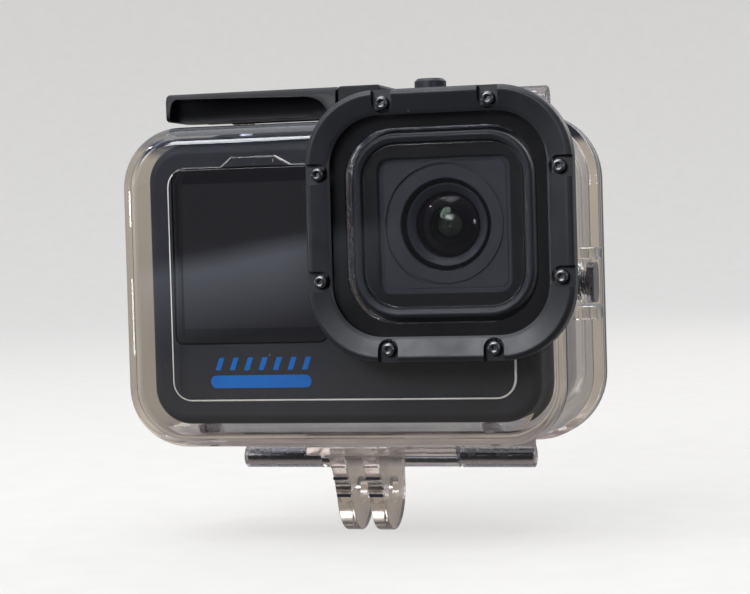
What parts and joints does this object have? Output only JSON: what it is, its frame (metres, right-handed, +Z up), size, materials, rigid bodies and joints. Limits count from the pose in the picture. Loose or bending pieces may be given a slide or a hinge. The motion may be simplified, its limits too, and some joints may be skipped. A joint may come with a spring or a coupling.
{
  "type": "action camera",
  "caption": "Small rectangular action camera closed in a clear protective housing with a square lens port, a top latch and a two-finger foot.",
  "frame": {"origin": "middle of the mounting fingers' bore axis", "axes": "+X to the viewer's right when facing the lens, +Y from the lens side to the back door, +Z up"},
  "size_m": [0.0863, 0.0444, 0.083],
  "materials": {
    "clear_polycarbonate": "clear moulded polycarbonate, polished",
    "port_glass": "flat coated glass",
    "lens_glass": "coated lens glass",
    "dark_glass": "dark tinted display cover",
    "display_panel": "switched-off display",
    "satin_black": "satin black moulded plastic",
    "charcoal_rubber": "fine-grained rubber coat",
    "dark_grey": "dark grey satin",
    "black_seal": "matte black seal rubber",
    "printed_blue": null,
    "pale_silicone": "translucent silicone",
    "steel": "stainless steel",
    "aluminium": "bare sheet",
    "circuit_board": "solder mask",
    "battery_wrap": "plain plastic wrap"
  },
  "bodies": {
    "housing": {"front_shell": "clear_polycarbonate", "finger_mount": "clear_polycarbonate", "port_glass": "port_glass", "lens_cover_glass": "port_glass", "lens_front_element": "lens_glass", "lens_rear_group": "lens_glass", "port_gasket": "black_seal", "shutter_oring": "black_seal", "side_oring": "black_seal", "port_bezel": "satin_black", "lens_barrel": "satin_black", "folding_finger_left": "satin_black", "folding_finger_right": "satin_black", "door_hinge_pin": "steel", "shutter_spring": "steel", "side_spring": "steel", "lens_cover_frame": "dark_grey", "speaker": "dark_grey", "camera_front_case": "charcoal_rubber", "camera_rear_case": "charcoal_rubber", "battery_door": "charcoal_rubber", "camera_front_glass": "dark_glass", "camera_rear_glass": "dark_glass", "camera_front_display": "display_panel", "camera_rear_display": "display_panel", "image_sensor": "display_panel", "sensor_board": "circuit_board", "main_board": "circuit_board", "heat_spreader": "aluminium", "battery": "battery_wrap", "bezel_screw_1": "steel", "bezel_screw_2": "steel", "bezel_screw_3": "steel", "bezel_screw_4": "steel", "bezel_screw_5": "steel", "bezel_screw_6": "steel", "bezel_screw_7": "steel", "bezel_screw_8": "steel"},
    "door": {"back_door": "clear_polycarbonate", "door_seal": "pale_silicone", "latch_pin": "steel"},
    "latch": {"latch_lever": "satin_black"},
    "lock": {"latch_lock": "satin_black"},
    "shutter_push": {"shutter_plunger": "dark_grey", "shutter_clip": "steel"},
    "side_push": {"side_plunger": "dark_grey", "side_clip": "steel"},
    "camera_shutter": {"camera_shutter_button": "dark_grey"},
    "camera_mode": {"camera_mode_button": "dark_grey"}
  },
  "joints": [
    {"name": "door_swing", "type": "hinge", "parent": "housing", "child": "door", "pos_m": [0, 0.0152, 0.0046], "axis": [-1, 0, 0], "range_deg": [0, 170]},
    {"name": "latch_lift", "type": "hinge", "parent": "door", "child": "latch", "pos_m": [0, 0.0162, 0.0725], "axis": [-1, 0, 0], "range_deg": [0, 110]},
    {"name": "lock_slide", "type": "slide", "parent": "latch", "child": "lock", "axis": [1, 0, 0], "range_m": [0, 0.002]},
    {"name": "shutter_press", "type": "slide", "parent": "housing", "child": "shutter_push", "axis": [0, 0, -1], "range_m": [0, 0.0012], "stiffness_N_per_m": 600, "deforming": ["shutter_spring"]},
    {"name": "side_press", "type": "slide", "parent": "housing", "child": "side_push", "axis": [-1, 0, 0], "range_m": [0, 0.0008], "stiffness_N_per_m": 600, "deforming": ["side_spring"]},
    {"name": "camera_shutter_press", "type": "slide", "parent": "housing", "child": "camera_shutter", "axis": [0, 0, -1], "range_m": [0, 0.0012]},
    {"name": "camera_mode_press", "type": "slide", "parent": "housing", "child": "camera_mode", "axis": [-1, 0, 0], "range_m": [0, 0.0008]}
  ],
  "couplings": [
    {"joint": "camera_shutter_press", "follows": "shutter_press", "ratio": 1},
    {"joint": "camera_mode_press", "follows": "side_press", "ratio": 1}
  ]
}
